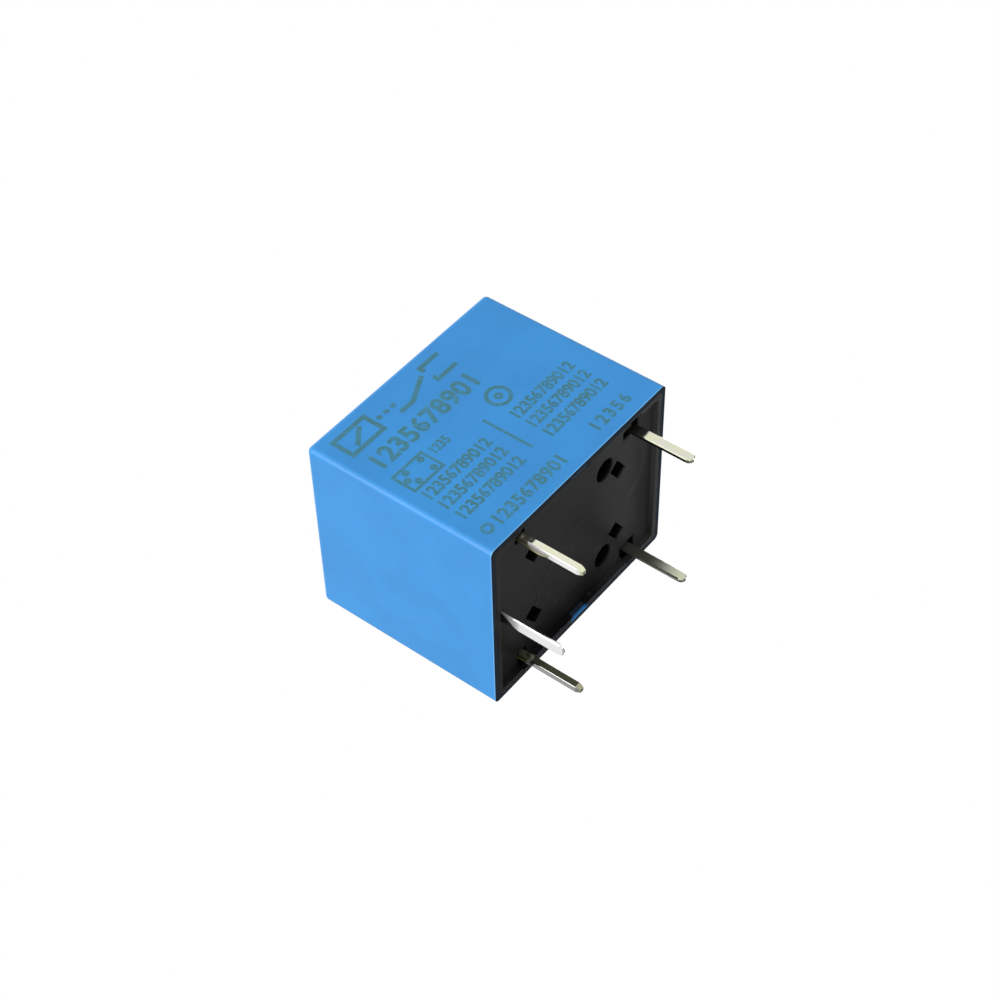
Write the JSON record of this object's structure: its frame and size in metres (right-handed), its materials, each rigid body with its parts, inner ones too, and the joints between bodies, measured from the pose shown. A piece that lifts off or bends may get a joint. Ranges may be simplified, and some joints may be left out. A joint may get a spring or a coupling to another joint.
{
  "type": "relay",
  "caption": "Sealed cube relay for a circuit board: a coil rocks an armature that switches a changeover contact, in a blue cover over a black pinned base.",
  "frame": {"origin": "centre of the case's outline on the plane that rests on the circuit board", "axes": "+Z away from the board, +X from the common pin's end to the contact pins' end, printed side facing -Y"},
  "size_m": [0.019, 0.0154, 0.0201],
  "materials": {
    "cover_plastic": "satin moulded, slightly translucent blue",
    "base_plastic": "fine moulded black",
    "bobbin_plastic": "natural glass-filled",
    "tinned_terminal": "bright tin plate on copper alloy",
    "magnet_iron": "zinc plated soft iron",
    "winding_wire": "enamelled copper wire",
    "winding_tape": "smooth film tape",
    "spring_leaf": "rolled copper alloy",
    "contact_silver": "pressed silver alloy",
    "solder": "dull, with flux residue"
  },
  "bodies": {
    "housing": {"cover": "cover_plastic", "base": "base_plastic", "com_terminal": "tinned_terminal", "normally_closed_terminal": "tinned_terminal", "normally_open_terminal": "tinned_terminal", "coil_terminal_front": "tinned_terminal", "coil_terminal_rear": "tinned_terminal", "solder_joint_front": "solder", "solder_joint_rear": "solder", "bobbin": "bobbin_plastic", "coil_winding": "winding_wire", "coil_tape": "winding_tape", "core": "magnet_iron", "yoke": "magnet_iron", "normally_closed_contact": "contact_silver", "normally_open_contact": "contact_silver"},
    "armature_assembly": {"armature": "magnet_iron", "contact_spring": "spring_leaf", "moving_contact": "contact_silver"}
  },
  "joints": [
    {"name": "armature_hinge", "type": "hinge", "parent": "housing", "child": "armature_assembly", "pos_m": [-0.0078, 0, 0.01084], "axis": [0, 1, 0], "range_deg": [0, 3.29], "stiffness_Nm_per_rad": 0.02, "springref_deg": -4.01, "deforming": ["contact_spring"]}
  ]
}
